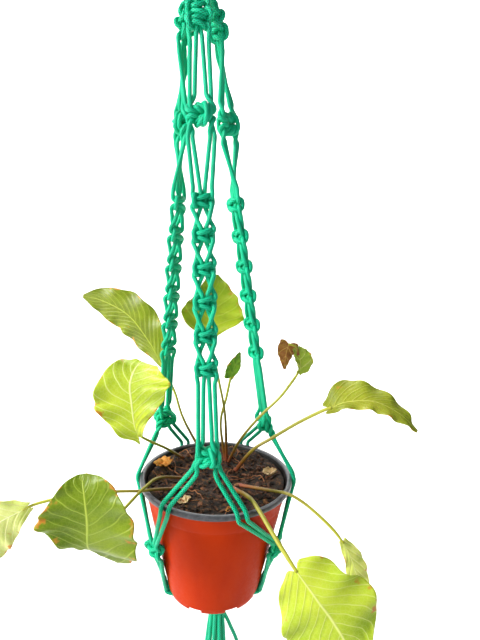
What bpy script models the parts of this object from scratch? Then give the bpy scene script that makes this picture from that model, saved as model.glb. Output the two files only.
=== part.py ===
"""Hanging planter: a knotted cord hanger of three arms holding a nursery pot with a young plant."""
import math

import bmesh
import bpy
from mathutils import Vector

for old in list(bpy.data.objects):
    bpy.data.objects.remove(old, do_unlink=True)

# Driving dimensions, in metres. The origin is the point where the loop sits on its hook.
CORD = 0.0035                     # braided cord diameter
PITCH = 0.0039                    # centre to centre of two cords lying side by side
GAP = 0.0003                      # gap between pieces that touch
TURN_GAP = 0.0008                 # gap around the pot, which turns in its cradle

LOOP_PITCH = 0.0043               # the same, where the cords spread over the hook
RIM_DROP = 0.478                  # rim plane below the hook
SLANT = 0.048                     # sideways run of the hanger for each metre of drop
POT_X = 0.027                     # pot axis beside the plumb line
RIM_R = 0.070                     # pot rim, outer
RIM_BAND = 0.0045                 # height of the rolled rim
WALL_TOP_R = 0.066                # wall just under the rim
BASE_R = 0.043
POT_H = 0.112
WALL = 0.0016
STEP_DROP = 0.020                 # stacking step below the rim
STEP_IN = 0.0008
FOOT = 0.005                      # foot ring under the floor
SOIL_DROP = 0.009                 # soil level below the rim

ARMS = {"front": 268.4, "left": 148.0, "right": 18.6}       # azimuth of each arm, degrees
CRADLES = {"left": 211.0, "right": 331.0, "back": 91.0}     # azimuth of each cradle knot
BASE_DRIFT = {211.0: -13.0, 331.0: 13.0, 91.0: 0.0}         # turn of its cords by the base edge
NOTCH_SIZE = (0.016, 0.0125, 0.0064)                       # through the foot ring, along it, up
PAIR_AZ = {"front": (237.0, 288.0), "left": (118.0, 180.0), "right": (358.0, 66.0)}
PAIR_HALF = math.radians(3.0)     # half the angle between the two cords of a pair at the rim

TOP_WRAP_Z = (0.404, 0.434)       # heights above the rim plane
BASE_WRAP_Z = (-0.1262, -0.1442)
WRAP_R = 0.0113
BUNDLE_IN = 0.00225               # the three middle cords of a gathered bundle
BUNDLE_OUT = 0.00615              # the nine cords around them
BUNDLE_TURN = 36.5                # degrees between neighbours of the outer ring in one group
TASSEL_X = 0.004                  # the base knot hangs a little beside the pot axis
TASSEL_LENGTH = 0.150

KNOT_SIZE = (0.0150, 0.0106, 0.0100)        # across, through, along: one square knot
TOP_KNOT_SIZE = (0.0150, 0.0106, 0.0240)    # two square knots, one on the other
BIG_KNOT_SIZE = (0.0205, 0.0126, 0.0190)    # a knot tied with doubled cords
CRADLE_KNOT_SIZE = (0.0126, 0.0106, 0.0105)
TOP_KNOT = (0.0143, 0.380)        # distance from the hanger's axis, height above the rim
UPPER_KNOT = (0.0221, 0.3102)
FIRST_KNOT = (0.0280, 0.2437)
KNOT_STEP = (0.0034, -0.0262)
KNOTS = 6
RIM_KNOT = (0.0541, 0.0425)
CRADLE_KNOT = (0.0622, -0.0560)
ROW = (-0.0078, -0.0027, 0.0027, 0.0078)    # four cords side by side between knots
FAN = 1.50                        # how far the cords fan out between the wrapping and the top knots
ROW_OUT = (0.0, 0.0024, 0.0024, 0.0)        # the middle two stand a little proud
SQUARE = ((-1, -1), (-1, 1), (1, 1), (1, -1))

STALK_R = 0.0013
BLADE_T = 0.0006
WALL_LEAN = 0.02                  # half the height over which a cradle knot takes the wall's slope
SPREAD_AT = (0.3, 0.7)            # shares of the way between two knots at which cords lie side by side
RISE_OUT = CORD * 0.4             # straight run of a cord out of a knot


def material(name, colour, roughness, metallic=0.0):
    made = bpy.data.materials.new(name)
    made.use_nodes = True
    shader = made.node_tree.nodes["Principled BSDF"]
    shader.inputs["Base Color"].default_value = (*colour, 1.0)
    shader.inputs["Roughness"].default_value = roughness
    shader.inputs["Metallic"].default_value = metallic
    return made


CORD_GREEN = (0.0, 0.42, 0.22)
POT_RED = (0.50, 0.09, 0.03)
SOIL_BROWN = (0.06, 0.03, 0.015)
LEAF_GREEN = (0.22, 0.42, 0.02)


def finish(obj, colour, roughness, smooth=True):
    obj.data.materials.clear()
    obj.data.materials.append(material(obj.name, colour, roughness))
    if smooth and obj.type == "MESH":
        obj.data.shade_smooth()
        obj.data.set_sharp_from_angle(angle=math.radians(40))
    return obj


def link(name, data, parent=None):
    obj = bpy.data.objects.new(name, data)
    bpy.context.collection.objects.link(obj)
    if parent:
        obj.parent = parent
        obj.matrix_parent_inverse = parent.matrix_world.inverted()
    return obj


def pivot(name, place):
    empty = link(name, None)
    empty.location = place
    bpy.context.view_layer.update()
    return empty


def skin(name, rings, closed=False):
    """A closed mesh over equal rings of points; closed joins the last ring to the first."""
    mesh = bpy.data.meshes.new(name)
    bm = bmesh.new()
    made = [[bm.verts.new(p) for p in ring] for ring in rings]
    pairs = list(zip(made, made[1:]))
    if closed:
        pairs.append((made[-1], made[0]))
    for low, high in pairs:
        count = len(low)
        for i in range(count):
            k = (i + 1) % count
            bm.faces.new((low[i], low[k], high[k], high[i]))
    if not closed:
        bm.faces.new(made[0][::-1])
        bm.faces.new(made[-1])
    bmesh.ops.recalc_face_normals(bm, faces=bm.faces)
    bm.to_mesh(mesh)
    bm.free()
    return mesh


def turned(name, profile, steps=32, centre=(0.0, 0.0)):
    """A profile of (radius, height) points turned about a vertical axis, both ends on the axis."""
    mesh = bpy.data.meshes.new(name)
    bm = bmesh.new()
    cx, cy = centre
    rings = []
    for radius, height in profile:
        if radius == 0.0:
            rings.append([bm.verts.new((cx, cy, height))])
            continue
        ring = []
        for i in range(steps):
            turn = 2 * math.pi * i / steps
            ring.append(bm.verts.new((cx + radius * math.cos(turn), cy + radius * math.sin(turn), height)))
        rings.append(ring)
    for low, high in zip(rings, rings[1:]):
        for i in range(steps):
            k = (i + 1) % steps
            if len(low) == 1:
                bm.faces.new((low[0], high[i], high[k]))
            elif len(high) == 1:
                bm.faces.new((low[i], low[k], high[0]))
            else:
                bm.faces.new((low[i], low[k], high[k], high[i]))
    bmesh.ops.recalc_face_normals(bm, faces=bm.faces)
    bm.to_mesh(mesh)
    bm.free()
    return mesh


def hanger(azimuth, radius, height, across=0.0, through=0.0):
    """A point of the hanger: height above the rim plane, offset across and through an arm."""
    turn = math.radians(azimuth)
    out = Vector((math.cos(turn), math.sin(turn), 0.0))
    side = Vector((-math.sin(turn), math.cos(turn), 0.0))
    axis = Vector((SLANT * (RIM_DROP - height), 0.0, height - RIM_DROP))
    return axis + out * (radius + through) + side * across


def at_pot(azimuth, radius, height, across=0.0, through=0.0, shift=0.0):
    """The same, measured from the pot's own axis."""
    turn = math.radians(azimuth)
    out = Vector((math.cos(turn), math.sin(turn), 0.0))
    side = Vector((-math.sin(turn), math.cos(turn), 0.0))
    return Vector((POT_X + shift, 0.0, height - RIM_DROP)) + out * (radius + through) + side * across


def wall_radius(height):
    """Outer radius of the pot's wall at a height below the rim plane."""
    share = (-height - RIM_BAND) / (POT_H - RIM_BAND)
    return WALL_TOP_R + (BASE_R - WALL_TOP_R) * share


def knot_frame(azimuth, low, high):
    """Directions of a knot between two points: across, through and along."""
    turn = math.radians(azimuth)
    along = (high - low).normalized()
    across = Vector((-math.sin(turn), math.cos(turn), 0.0))
    across = (across - along * across.dot(along)).normalized()
    return across, across.cross(along), along


def knot(name, centre, frame, size):
    """A knot as a collar: rounded outside, with a square way through for its four cords."""
    across, through, along = frame
    half_a, half_t, half_h = (s / 2 for s in size)
    bore = PITCH / 2 + CORD / 2 + GAP
    corner = 0.30

    def ring(a, t, h, cut):
        flat = [(a, -t + cut * t), (a, t - cut * t), (a - cut * t, t), (-a + cut * t, t),
                (-a, t - cut * t), (-a, -t + cut * t), (-a + cut * t, -t), (a - cut * t, -t)]
        return [centre + across * x + through * y + along * h for x, y in flat]

    trim = 0.0011
    rings = [ring(bore, bore, -half_h, 0.06), ring(half_a - trim, half_t - trim, -half_h, corner),
             ring(half_a, half_t, -half_h + 2 * trim, corner),
             ring(half_a, half_t, half_h - 2 * trim, corner),
             ring(half_a - trim, half_t - trim, half_h, corner), ring(bore, bore, half_h, 0.06)]
    return finish(link(name, skin(name, rings, closed=True)), CORD_GREEN, 0.5)


def through_knot(centre, frame, height, slot):
    """The two route points of one cord where it enters and leaves a knot."""
    across, through, along = frame
    a, t = SQUARE[slot]
    middle = centre + across * (a * PITCH / 2) + through * (t * PITCH / 2)
    reach = along * (height / 2 + RISE_OUT)
    return [middle + reach, middle - reach]


def tube(name, route, radius, parent=None, sides=1):
    """A cord along its route as a curve with a bevel and filled ends."""
    curve = bpy.data.curves.new(name, "CURVE")
    curve.dimensions = "3D"
    curve.bevel_depth = radius
    curve.bevel_resolution = sides
    curve.use_fill_caps = True
    spline = curve.splines.new("POLY")
    spline.points.add(len(route) - 1)
    for point, place in zip(spline.points, route):
        point.co = (*place, 1.0)
    return link(name, curve, parent)


def smooth(points, spacing):
    """Points at an even spacing on a smooth curve through the route points."""
    ends = [points[0] * 2 - points[1]] + list(points) + [points[-1] * 2 - points[-2]]
    fine = []
    steps = 24
    for p0, p1, p2, p3 in zip(ends, ends[1:], ends[2:], ends[3:]):
        for i in range(steps):
            t = i / steps
            fine.append(0.5 * (2 * p1 + (p2 - p0) * t + (2 * p0 - 5 * p1 + 4 * p2 - p3) * t * t
                               + (3 * p1 - p0 - 3 * p2 + p3) * t ** 3))
    fine.append(points[-1])
    length = sum((b - a).length for a, b in zip(fine, fine[1:]))
    count = max(2, round(length / spacing))
    out, run, k = [fine[0]], 0.0, 1
    for a, b in zip(fine, fine[1:]):
        step = (b - a).length
        while k < count and run + step >= length * k / count:
            out.append(a.lerp(b, (length * k / count - run) / step))
            k += 1
        run += step
    out.append(fine[-1])
    return out


# The three arms: their knots, and the route of each of their four cords from bundle to cradle.

def arm_stations(azimuth):
    """Centre of every knot down one arm, each with its frame and its size."""
    places = [(TOP_KNOT, TOP_KNOT_SIZE), (UPPER_KNOT, BIG_KNOT_SIZE)]
    for i in range(KNOTS):
        step = (FIRST_KNOT[0] + KNOT_STEP[0] * i, FIRST_KNOT[1] + KNOT_STEP[1] * i)
        places.append((step, KNOT_SIZE))
    places.append((RIM_KNOT, BIG_KNOT_SIZE))
    centres = [hanger(azimuth, r, z) for (r, z), _ in places]
    out = []
    for i, (_, size) in enumerate(places):
        high = centres[max(i - 1, 0)]
        low = centres[min(i + 1, len(centres) - 1)]
        out.append((centres[i], knot_frame(azimuth, low, high), size))
    return out


def bundle(azimuth, slot):
    """Place of one cord of a group of four in a gathered bundle: radius and azimuth."""
    turned_by = {0: -BUNDLE_TURN, 1: 0.0, 2: BUNDLE_TURN, 3: 0.0}[slot]
    return (BUNDLE_IN if slot == 3 else BUNDLE_OUT), azimuth + turned_by


def leave_wrap(azimuth, slot, first):
    """Route points through the top wrapping and, fanned out a little, on to the first knot."""
    low = []
    for k in range(4):
        radius, turn = bundle(azimuth, k)
        low.append(hanger(turn, radius, TOP_WRAP_Z[0] - (0.0020 if k == 3 else 0.0005)))
    centre, frame, size = first
    entry = [through_knot(centre, frame, size[2], k)[0] for k in range(4)]
    low_mean = sum(low, Vector()) / 4
    entry_mean = sum(entry, Vector()) / 4
    spread = (low[slot] - low_mean + entry[slot] - entry_mean) * 0.5 * FAN
    radius, turn = bundle(azimuth, slot)
    return [hanger(turn, radius, TOP_WRAP_Z[1] + 0.0005), low[slot], (low_mean + entry_mean) / 2 + spread]


def between(upper, lower, slot):
    """Route points of one cord side by side with its fellows between two knots."""
    centre_a, frame_a, _ = upper
    centre_b, frame_b, _ = lower
    points = []
    for share in SPREAD_AT:
        middle = centre_a.lerp(centre_b, share)
        across, through = (a.lerp(b, share) for a, b in zip(frame_a[:2], frame_b[:2]))
        points.append(middle + across * ROW[slot] + through * ROW_OUT[slot])
    return points


def cradle_frame(azimuth):
    """Directions of a cradle knot, which leans with the pot's wall."""
    low, high = CRADLE_KNOT[1] - WALL_LEAN, CRADLE_KNOT[1] + WALL_LEAN
    foot, head = at_pot(azimuth, wall_radius(low), low), at_pot(azimuth, wall_radius(high), high)
    return knot_frame(azimuth, foot, head)


def over_rim(pair_azimuth, slot):
    """Route points of one cord from an arm's lowest knot over the pot's rim."""
    turn = PAIR_HALF if slot in (1, 3) else -PAIR_HALF
    rest = CORD / 2 + TURN_GAP
    shape = [(RIM_R - 0.0035, 0.0085), (RIM_R + rest * 0.55, 0.0018), (RIM_R + rest, -0.0030),
             (RIM_R + rest - 0.0012, -0.0130)]
    return [at_pot(pair_azimuth + math.degrees(turn), r, z) for r, z in shape]


def below_cradle(azimuth, slot):
    """Route points of one cord from a cradle knot round the base edge to the base knot."""
    lane = (-0.0066, -0.0022, 0.0022, 0.0066)[slot]
    rest = CORD / 2 + TURN_GAP
    under = -POT_H - rest - 0.0004
    parting = (lane * 0.9, 0.0056) if slot in (1, 2) else (lane * 0.74, 0.0022)
    part_at, level_at = -0.068, -0.080
    drift = BASE_DRIFT[azimuth]
    points = [at_pot(azimuth, wall_radius(part_at) + rest, part_at, *parting),
              at_pot(azimuth + drift * 0.3, wall_radius(level_at) + rest + 0.0016, level_at, lane),
              at_pot(azimuth + drift, BASE_R + rest + 0.0022, -0.106, lane),
              at_pot(azimuth + drift, BASE_R - 0.0005, under - 0.0008, lane)]
    radius, turn = bundle(azimuth, {0: 0, 1: 3, 2: 1, 3: 2}[slot])
    drop, reach = (0.0012, 0.0068) if radius == BUNDLE_IN else (0.0070, 0.0060)
    level = under - drop
    points.append(at_pot(turn, radius + reach, level, shift=TASSEL_X))
    points.append(at_pot(turn, radius + 0.0009, level - 0.0020, shift=TASSEL_X))
    points.append(at_pot(turn, radius, BASE_WRAP_Z[0] + 0.0024, shift=TASSEL_X))
    return points


def strand(arm, slot):
    """The whole route of one cord, from inside the top wrapping to the base knot."""
    stations = arm_stations(ARMS[arm])
    top, upper, first, last, rim = (stations[i] for i in (0, 1, 2, 1 + KNOTS, 2 + KNOTS))

    def through(station):
        centre, frame, size = station
        return through_knot(centre, frame, size[2], slot)

    points = leave_wrap(ARMS[arm], slot, top) + through(top)
    points += between(top, upper, slot) + through(upper)
    points += between(upper, first, slot) + [through(first)[0], through(last)[1]]
    points += between(last, rim, slot) + through(rim)
    pair = PAIR_AZ[arm][0] if slot in (0, 1) else PAIR_AZ[arm][1]
    points += over_rim(pair, slot)
    cradle = min(CRADLES.values(), key=lambda a: abs((a - pair + 180) % 360 - 180))
    place = (slot + 2) % 4          # an arm's left pair is the right pair of the cradle knot it goes to
    points += through_knot(at_pot(cradle, *CRADLE_KNOT), cradle_frame(cradle), CRADLE_KNOT_SIZE[2], place)
    points += below_cradle(cradle, place)
    return points


# The loop over the hook: six cords, three side by side in two layers.

def loop(row, layer):
    """Left half of the loop from its crown down to the neck, mirrored for the right half."""
    out = CORD / 2 + PITCH * layer
    crown = 0.0130
    shape = [(0.0, 0.0, 1.0), (crown * 0.72, -crown * 0.30, 0.7), (crown, -crown, 0.0),
             (crown * 0.88, -crown * 1.60, -0.35), (crown * 0.48, -crown * 2.25, -0.55),
             (crown * 0.20, -crown * 2.80, -0.15)]
    points = []
    for x, z, rise in shape:
        sideways = math.sqrt(1.0 - rise * rise)
        lean = SLANT * -z
        points.append((Vector((lean, 0, 0)), Vector((x + out * (sideways if x else 0.0), 0, z + out * rise))))
    return [(base, offset + Vector((0, row * LOOP_PITCH, 0))) for base, offset in points]


LOOP_CORDS = [
    ("cord_a", ("front", 0), ("front", 2), -1, 1),
    ("cord_b", ("left", 2), ("right", 0), 0, 1),
    ("cord_c", ("left", 1), ("right", 1), 1, 1),
    ("cord_d", ("front", 1), ("front", 3), -1, 0),
    ("cord_e", ("left", 3), ("right", 3), 0, 0),
    ("cord_f", ("left", 0), ("right", 2), 1, 0),
]


def hanger_cords():
    for name, left, right, row, layer in LOOP_CORDS:
        half = loop(row, layer)
        left_side = [base + Vector((-offset.x, offset.y, offset.z)) for base, offset in half]
        right_side = [base + offset for base, offset in half[1:]]
        route = strand(*left)[::-1] + left_side[::-1] + right_side + strand(*right)
        finish(tube(name, route, CORD / 2), CORD_GREEN, 0.5)


def hanger_knots():
    for arm, azimuth in ARMS.items():
        names = ["top_knot", "upper_knot"] + [f"square_knot_{i + 1}" for i in range(KNOTS)] + ["rim_knot"]
        for name, (centre, frame, size) in zip(names, arm_stations(azimuth)):
            knot(f"{arm}_{name}", centre, frame, size)
    for side, azimuth in CRADLES.items():
        knot(f"{side}_cradle_knot", at_pot(azimuth, *CRADLE_KNOT), cradle_frame(azimuth), CRADLE_KNOT_SIZE)


def top_wrap():
    """The wrapping that gathers all twelve strands under the loop: a ribbed sleeve."""
    low, high = TOP_WRAP_Z
    turns = 6
    rise = (high - low) / turns
    bore = BUNDLE_OUT + CORD / 2 + GAP
    profile = [(bore, low), (bore, high)]
    for i in range(turns, 0, -1):
        profile += [(WRAP_R - 0.0008, low + rise * i), (WRAP_R, low + rise * (i - 0.5))]
    profile.append((WRAP_R - 0.0008, low))
    steps = 16
    rings = []
    for radius, height in profile:
        rings.append([hanger(360.0 * i / steps, radius, height) for i in range(steps)])
    finish(link("top_wrap", skin("top_wrap", rings, closed=True)), CORD_GREEN, 0.5)


def base_wrap(parent):
    """The gathering knot under the pot: a ribbed plug that the strands meet and the tails leave."""
    high, low = BASE_WRAP_Z
    turns = 5
    rise = (high - low) / turns
    profile = [(0.0, low - RIM_DROP), (WRAP_R - 0.0012, low - RIM_DROP)]
    for i in range(turns):
        profile.append((WRAP_R, low + rise * (i + 0.5) - RIM_DROP))
        profile.append((WRAP_R - 0.0012, low + rise * (i + 1) - RIM_DROP))
    profile.append((0.0, high - RIM_DROP))
    mesh = turned("base_wrap", profile, 16, (POT_X + TASSEL_X, 0.0))
    finish(link("base_wrap", mesh, parent), CORD_GREEN, 0.5)


def tails(parent):
    """Twelve loose ends below the base knot, nine around three, opening a little as they hang."""
    top = BASE_WRAP_Z[1] - 0.0024
    for i in range(12):
        ring, count = (BUNDLE_OUT, 9) if i < 9 else (BUNDLE_IN, 3)
        turn = 360.0 * (i if i < 9 else i - 9) / count + 11.0
        stray = 0.0125 if i == 0 else 0.0
        length = TASSEL_LENGTH + 0.006 * math.sin(i * 2.4)
        flare = 0.0045 + 0.0015 * math.cos(i * 1.7)
        route = []
        for share, open_by in ((0.0, 0.0), (0.12, 0.25), (0.3, 0.55), (0.6, 0.8), (1.0, 1.0)):
            radius = ring + flare * open_by * (ring / BUNDLE_OUT + 0.3) + stray * min(1.0, open_by * 1.8)
            route.append(at_pot(turn, radius, top - length * share, shift=TASSEL_X))
        curve = tube(f"tassel_tail_{i + 1}", smooth(route, CORD * 3), CORD / 2, parent, 2)
        finish(curve, CORD_GREEN, 0.5)


# The pot, its soil and the plant.

def pot(parent):
    inside = WALL
    step_r = wall_radius(-STEP_DROP)
    profile = [(0.0, -POT_H + FOOT), (BASE_R - 0.006, -POT_H + FOOT), (BASE_R - 0.004, -POT_H),
               (BASE_R, -POT_H), (step_r - STEP_IN, -STEP_DROP - 0.0008), (step_r, -STEP_DROP),
               (WALL_TOP_R, -RIM_BAND), (RIM_R - 0.0006, -RIM_BAND), (RIM_R, -RIM_BAND + 0.0008),
               (RIM_R, -0.0012), (RIM_R - 0.0012, 0.0), (RIM_R - 0.0040, 0.0),
               (WALL_TOP_R - inside, -RIM_BAND - 0.002), (BASE_R - 0.0030, -POT_H + FOOT + inside),
               (0.0, -POT_H + FOOT + inside)]
    profile = [(r, z - RIM_DROP) for r, z in profile]
    body = link("nursery_pot", turned("nursery_pot", profile, 36, (POT_X, 0.0)), parent)
    finish(body, POT_RED, 0.35)
    notch_at = [22.5 + 45.0 * i for i in range(8)]
    for i, azimuth in enumerate(notch_at):
        bpy.ops.mesh.primitive_cube_add(size=1.0)
        cutter = bpy.context.active_object
        cutter.name = f"notch_cutter_{i + 1}"
        cutter.scale = NOTCH_SIZE
        cutter.location = at_pot(azimuth, BASE_R, -POT_H)
        cutter.rotation_euler = (0.0, 0.0, math.radians(azimuth))
        cut(body, cutter)
    drain_r = 0.024
    for i in range(4):
        bpy.ops.mesh.primitive_cylinder_add(vertices=10, radius=0.004, depth=0.010)
        cutter = bpy.context.active_object
        cutter.name = f"drain_cutter_{i + 1}"
        cutter.location = at_pot(90.0 * i + 15.0, drain_r, -POT_H + FOOT)
        cut(body, cutter)


def cut(body, cutter):
    cutter.hide_render = True
    cutter.display_type = "WIRE"
    modifier = body.modifiers.new(cutter.name, "BOOLEAN")
    modifier.operation = "DIFFERENCE"
    modifier.object = cutter


def soil(parent):
    floor = -POT_H + FOOT + WALL + GAP
    inset = WALL + 0.0006
    top_r = wall_radius(-SOIL_DROP) - inset - 0.0006
    low_r = BASE_R - 0.0030 - 0.0010
    profile = [(0.0, floor), (low_r, floor), (top_r, -SOIL_DROP - 0.001), (top_r - 0.002, -SOIL_DROP),
               (0.0, -SOIL_DROP)]
    profile = [(r, z - RIM_DROP) for r, z in profile]
    finish(link("soil", turned("soil", profile, 36, (POT_X, 0.0)), parent), SOIL_BROWN, 0.9)


def leaf_rings(stalk, blade, side, stalk_r=STALK_R):
    """Rings of a stalk that flattens into a blade. Blade points carry the two half widths."""
    path = [Vector(p) / 1000 for p in stalk] + [Vector(p[:3]) / 1000 for p in blade]
    widths = [(stalk_r, stalk_r)] * len(stalk) + [(p[3] / 1000, p[4] / 1000) for p in blade]
    rings = []
    for i, (place, (left, right)) in enumerate(zip(path, widths)):
        along = (path[min(i + 1, len(path) - 1)] - path[max(i - 1, 0)]).normalized()
        if i == 0:
            along = Vector((0, 0, 1))
        across = Vector(side)
        across = (across - along * across.dot(along)).normalized()
        normal = across.cross(along)
        thick = stalk_r if i < len(stalk) else BLADE_T
        centre = Vector((POT_X, 0.0, -RIM_DROP)) + place
        ring = [centre + across * right, centre + across * right * 0.5 + normal * thick * 0.87,
                centre - across * left * 0.5 + normal * thick * 0.87, centre - across * left,
                centre - across * left * 0.5 - normal * thick * 0.87,
                centre + across * right * 0.5 - normal * thick * 0.87]
        rings.append(ring)
    return rings


# Routes in millimetres from the middle of the rim; a blade point adds its left and right half widths.
SOIL_TOP = -SOIL_DROP * 1000 + 0.3
LEAVES = {
    "long_upper_left_leaf": dict(
        stalk=[(-8, 33, SOIL_TOP), (-34, 48, 32), (-44, 55, 58), (-54, 60, 78)],
        blade=[(-61, 64, 90, 5, 4), (-74, 72, 109, 20, 14), (-96, 82, 133, 23, 19), (-124, 91, 146, 15, 15),
               (-146, 96, 150, 2, 2)],
        side=(-0.6, 0.1, -0.8)),
    "curled_left_leaf": dict(
        stalk=[(-31, 43, SOIL_TOP), (-46, 5, 21), (-59, -16, 38)],
        blade=[(-68, -24, 47, 3, 3), (-72, -25, 58, 20, 12), (-74, -22, 75, 30, 28), (-76, -18, 90, 26, 30),
               (-72, -10, 106, 6, 12)],
        side=(1.0, 0.0, 0.1)),
    "broad_left_leaf": dict(
        stalk=[(-24, 5, SOIL_TOP), (-49, -20, 6), (-60, -42, 8.5), (-73, -58, 0), (-91, -68, -17)],
        blade=[(-101, -76, -25, 3, 3), (-101, -82, -16, 10, 26), (-100, -84, 4, 36, 38),
               (-103, -82, 22, 28, 30), (-108, -76, 36, 8, 10)],
        side=(1.0, 0.0, 0.0)),
    "far_left_leaf": dict(
        stalk=[(-22, -12, SOIL_TOP), (-49, -30, 0.5), (-64, -38, 3.2), (-81, -42, 5), (-111, -46, 5),
               (-143, -52, 0)],
        blade=[(-155, -56, -4, 4, 4), (-172, -58, -13, 20, 20), (-192, -60, -26, 26, 26),
               (-214, -62, -40, 4, 4)],
        side=(0.5, 0.0, -0.85)),
    "curved_right_leaf": dict(
        stalk=[(18, 20, SOIL_TOP), (32, -8, 27), (49, -14, 42), (70, -20, 59), (89, -25, 72)],
        blade=[(97, -27, 76, 4, 8), (110, -29, 82, 6, 22), (132, -33, 84, 8, 15), (153, -37, 75, 7, 9),
               (168, -40, 61, 1.5, 1.5)],
        side=(0.1, 0.6, 0.75), stalk_r=0.0016),
    "folded_right_leaf": dict(
        stalk=[(20, -5, SOIL_TOP), (46, -30, 0.5), (61, -43, 4.5), (74, -50, 0), (87, -58, -8),
               (97, -64, -16)],
        blade=[(104, -68, -24, 3, 4), (111, -71, -37, 6, 10), (117, -75, -56, 8, 10), (121, -78, -74, 2, 2)],
        side=(0.8, 0.3, 0.5)),
    "low_right_leaf": dict(
        stalk=[(16, -12, SOIL_TOP), (27, -50, 5.5), (34, -65, 3.5), (44, -82, -6), (53, -95, -15)],
        blade=[(60, -104, -22, 3, 3), (68, -109, -28, 26, 26), (78, -113, -40, 38, 32),
               (92, -118, -58, 34, 34), (104, -121, -80, 24, 26), (114, -122, -102, 3, 3)],
        side=(0.85, 0.1, 0.5), stalk_r=0.0017),
}
BACK_LEAVES = [
    dict(stalk=[(10, 36, SOIL_TOP), (7, 22, 47), (0, 18, 84), (-5, 18, 107)],
         blade=[(-10, 22, 130, 4, 4), (-10, 25, 142, 26, 30), (-8, 30, 160, 18, 24), (-8, 36, 182, 4, 5)],
         side=(1.0, 0.1, 0.0)),
    dict(stalk=[(9.2, 36.8, SOIL_TOP), (3, 33, 35), (8, 35, 62), (11, 36, 79)],
         blade=[(12, 36, 83, 4, 2), (15, 37, 93, 4, 5), (20, 38, 107, 1, 1)],
         side=(1.0, 0.1, -0.2)),
    dict(stalk=[(11.2, 36.8, SOIL_TOP), (21, 6, 30), (38, 0, 56), (55, -2, 75), (66, -4, 92)],
         blade=[(71, -5, 104, 2, 2), (70, -6, 117, 2, 9), (62, -7, 125, 2, 5), (55, -8, 121, 3, 5),
                (53, -9, 108, 1, 2)],
         side=(0.3, 0.9, 0.2)),
]


def plant(parent):
    for name, shape in LEAVES.items():
        finish(link(name, skin(name, leaf_rings(**shape)), parent), LEAF_GREEN, 0.55)
    name = "back_leaves"
    first = link(name, skin(name, leaf_rings(**BACK_LEAVES[0])), parent)
    for i, shape in enumerate(BACK_LEAVES[1:]):
        other = link(f"{name}_joined_{i + 1}", skin(f"{name}_{i + 2}", leaf_rings(**shape)))
        other.hide_render = True
        other.display_type = "WIRE"
        union = first.modifiers.new(other.name, "BOOLEAN")
        union.operation = "UNION"
        union.object = other
    finish(first, LEAF_GREEN, 0.55)


pot_axis = pivot("pot_turn_axis", (POT_X, 0.0, -RIM_DROP))
knot_pivot = pivot("base_knot_pivot", at_pot(0.0, TASSEL_X, BASE_WRAP_Z[0] + 0.0012))
tail_pivot = pivot("tassel_pivot", at_pot(0.0, TASSEL_X, BASE_WRAP_Z[1] - 0.0012))
hanger_cords()
hanger_knots()
top_wrap()
base_wrap(knot_pivot)
tails(tail_pivot)
pot(pot_axis)
soil(pot_axis)
plant(pot_axis)
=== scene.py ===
import math
import random

import bpy
import numpy as np
from mathutils import Matrix, Vector, kdtree, noise


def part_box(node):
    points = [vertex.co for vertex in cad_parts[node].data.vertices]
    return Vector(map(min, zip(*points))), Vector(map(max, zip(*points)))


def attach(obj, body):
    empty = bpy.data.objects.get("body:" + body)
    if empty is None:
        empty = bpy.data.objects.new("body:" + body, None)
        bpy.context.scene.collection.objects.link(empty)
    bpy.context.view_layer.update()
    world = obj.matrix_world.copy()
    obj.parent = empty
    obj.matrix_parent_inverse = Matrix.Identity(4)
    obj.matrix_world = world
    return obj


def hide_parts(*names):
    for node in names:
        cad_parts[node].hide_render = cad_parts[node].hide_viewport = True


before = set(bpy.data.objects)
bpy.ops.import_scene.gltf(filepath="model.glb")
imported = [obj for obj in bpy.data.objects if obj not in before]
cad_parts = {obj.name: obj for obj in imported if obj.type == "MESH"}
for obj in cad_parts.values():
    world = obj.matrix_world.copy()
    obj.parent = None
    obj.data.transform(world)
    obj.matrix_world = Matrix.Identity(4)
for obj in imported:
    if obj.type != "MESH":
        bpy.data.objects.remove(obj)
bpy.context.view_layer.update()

bpy.ops.object.select_all(action="DESELECT")
print("frame loaded")

# where the pot stands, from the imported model
potLow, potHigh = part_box("nursery_pot")
potX = (potLow.x + potHigh.x) / 2
rimZ = potHigh.z
rimR = (potHigh.x - potLow.x) / 2
potH = potHigh.z - potLow.z


def colour(hexText):
    out = []
    for k in (1, 3, 5):
        share = int(hexText[k:k + 2], 16) / 255
        out.append(share / 12.92 if share <= 0.04045 else ((share + 0.055) / 1.055) ** 2.4)
    return (*out, 1.0)


def node(tree, kind, inputs=None, ramp=None, **settings):
    made = tree.nodes.new("ShaderNode" + kind)
    for name, value in settings.items():
        setattr(made, name, value)
    for name, value in (inputs or {}).items():
        if isinstance(value, bpy.types.Node):
            value = value.outputs[0]
        if isinstance(value, bpy.types.NodeSocket):
            tree.links.new(value, made.inputs[name])
        else:
            made.inputs[name].default_value = value
    if ramp:
        stops = made.color_ramp.elements
        while len(stops) < len(ramp):
            stops.new(0.5)
        for stop, (place, tint) in zip(stops, ramp):
            stop.position = place
            stop.color = colour(tint)
    return made


def maths(tree, operation, *values):
    return node(tree, "Math", dict(enumerate(values)), operation=operation)


def noiseOf(tree, scale, detail=2.0):
    place = node(tree, "TexCoord").outputs["Object"]
    return node(tree, "TexNoise", {"Vector": place, "Scale": scale, "Detail": detail})


def newMaterial(name):
    made = bpy.data.materials.new(name)
    made.use_nodes = True
    made.node_tree.nodes.clear()
    return made, made.node_tree


def finishShader(tree, inputs):
    node(tree, "OutputMaterial", {"Surface": node(tree, "BsdfPrincipled", inputs)})


def dress(obj, *materials):
    obj.data.materials.clear()
    for material in materials:
        obj.data.materials.append(material)


def settle(obj, body, replaced=()):
    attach(obj, body)
    if replaced:
        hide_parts(*replaced)


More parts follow.
